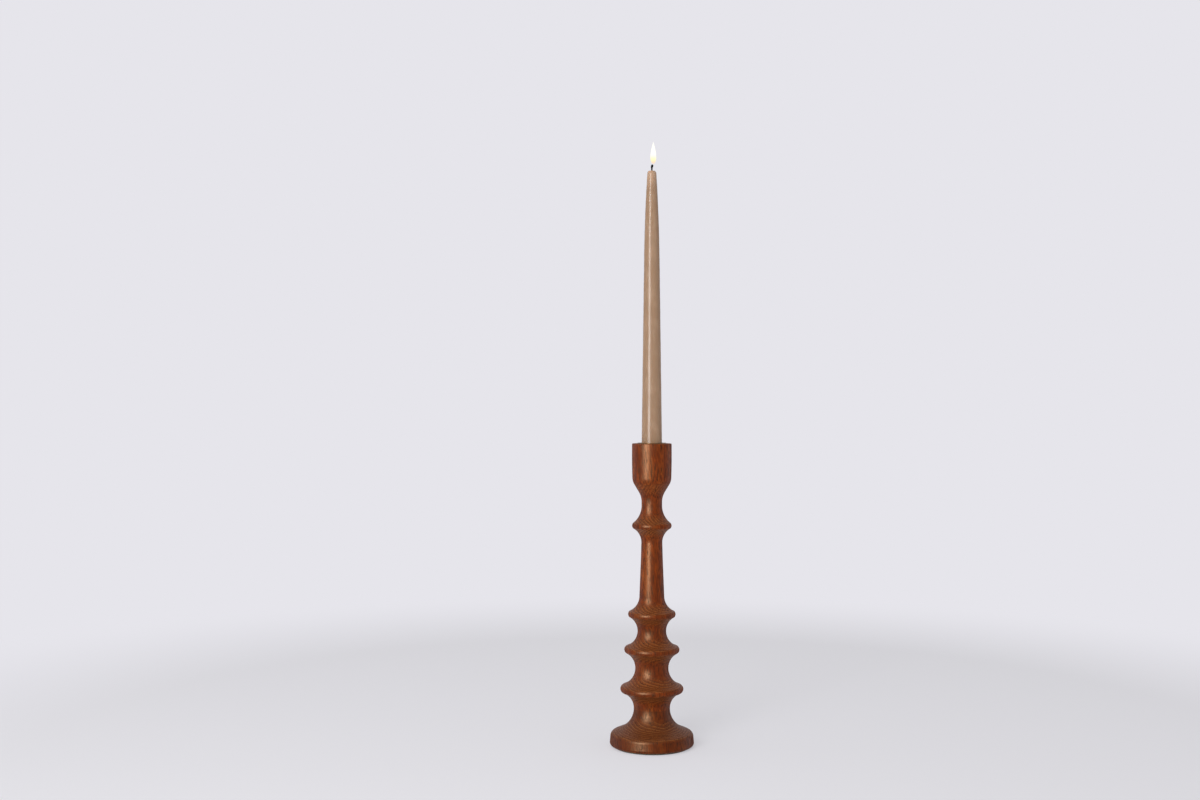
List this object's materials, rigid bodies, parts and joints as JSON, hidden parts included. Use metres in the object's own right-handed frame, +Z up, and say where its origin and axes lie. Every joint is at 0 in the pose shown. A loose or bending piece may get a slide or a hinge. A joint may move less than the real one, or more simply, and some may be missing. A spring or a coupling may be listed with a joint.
{
  "type": "pricket candle stand",
  "caption": "Tall turned hardwood candle stand with stacked rings, a tapering stem and a cup with brass liner and pricket pin, holding a lit taper candle that lifts out.",
  "frame": {"origin": "centre of the felt's underside, on the surface that the stand rests on", "axes": "+Z up along the turning axis; +X is the side to which the burnt wick bends, to the right in the picture; -Y faces the camera"},
  "size_m": [0.0918, 0.0918, 0.6595],
  "materials": {
    "turned_hardwood": "satin oil over turned reddish-brown hardwood",
    "birch_dowel": "plain milled birch",
    "green_felt": "pressed wool felt",
    "ballast_steel": "as cut, lightly oiled",
    "zinc_plated_steel": "bright zinc plate",
    "turned_steel": "turned, bare",
    "spun_brass": "spun, slightly dulled",
    "candle_wax": "satin wax, taupe all through",
    "cotton_wick": "braided cotton, charred at the tip",
    "flame_light": "light, not a solid"
  },
  "bodies": {
    "stand": {"felt_pad": "green_felt", "foot": "turned_hardwood", "ballast_weight": "ballast_steel", "screw_washer": "zinc_plated_steel", "foot_screw": "zinc_plated_steel", "column": "turned_hardwood", "column_dowel": "birch_dowel", "stem": "turned_hardwood", "stem_dowel": "birch_dowel", "candle_cup": "turned_hardwood", "socket_liner": "spun_brass", "pricket_pin": "turned_steel"},
    "candle": {"candle_body": "candle_wax", "candle_wick": "cotton_wick", "candle_flame": "flame_light"}
  },
  "joints": [
    {"name": "candle_lift", "type": "slide", "parent": "stand", "child": "candle", "axis": [0, 0, 1], "range_m": [0, 0.04]}
  ]
}
